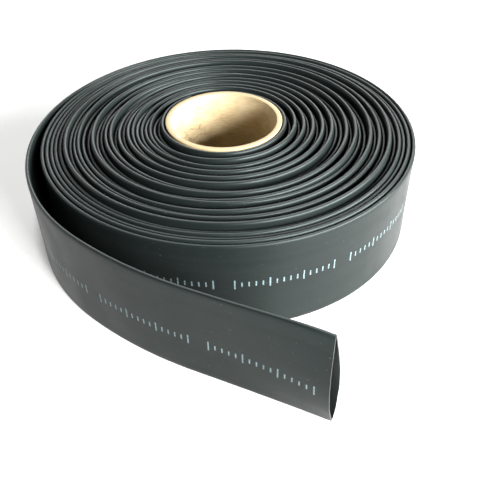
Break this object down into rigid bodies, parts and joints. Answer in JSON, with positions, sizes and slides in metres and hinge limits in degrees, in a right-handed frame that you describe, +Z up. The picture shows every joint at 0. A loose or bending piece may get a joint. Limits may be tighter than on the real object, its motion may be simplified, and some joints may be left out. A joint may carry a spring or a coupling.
{
  "type": "roll of heat shrink tube",
  "caption": "Roll of thick-walled black heat shrink tube, flattened and wound on edge round a cardboard core, its outer end loose and standing open.",
  "frame": {"origin": "centre of the footprint, on the floor that the roll lies on", "axes": "+Z up along the core's axis, +X along the loose tail towards its open mouth, -Y the side that the tail lies on"},
  "size_m": [0.3176, 0.3504, 0.0836],
  "materials": {
    "tube_black": "satin black cross-linked polyolefin, faint dust and scuffs",
    "core_card": "spirally wound brown board with a pale cut rim"
  },
  "bodies": {
    "root": {"heat_shrink_tube": "tube_black", "cardboard_core": "core_card"}
  },
  "joints": []
}
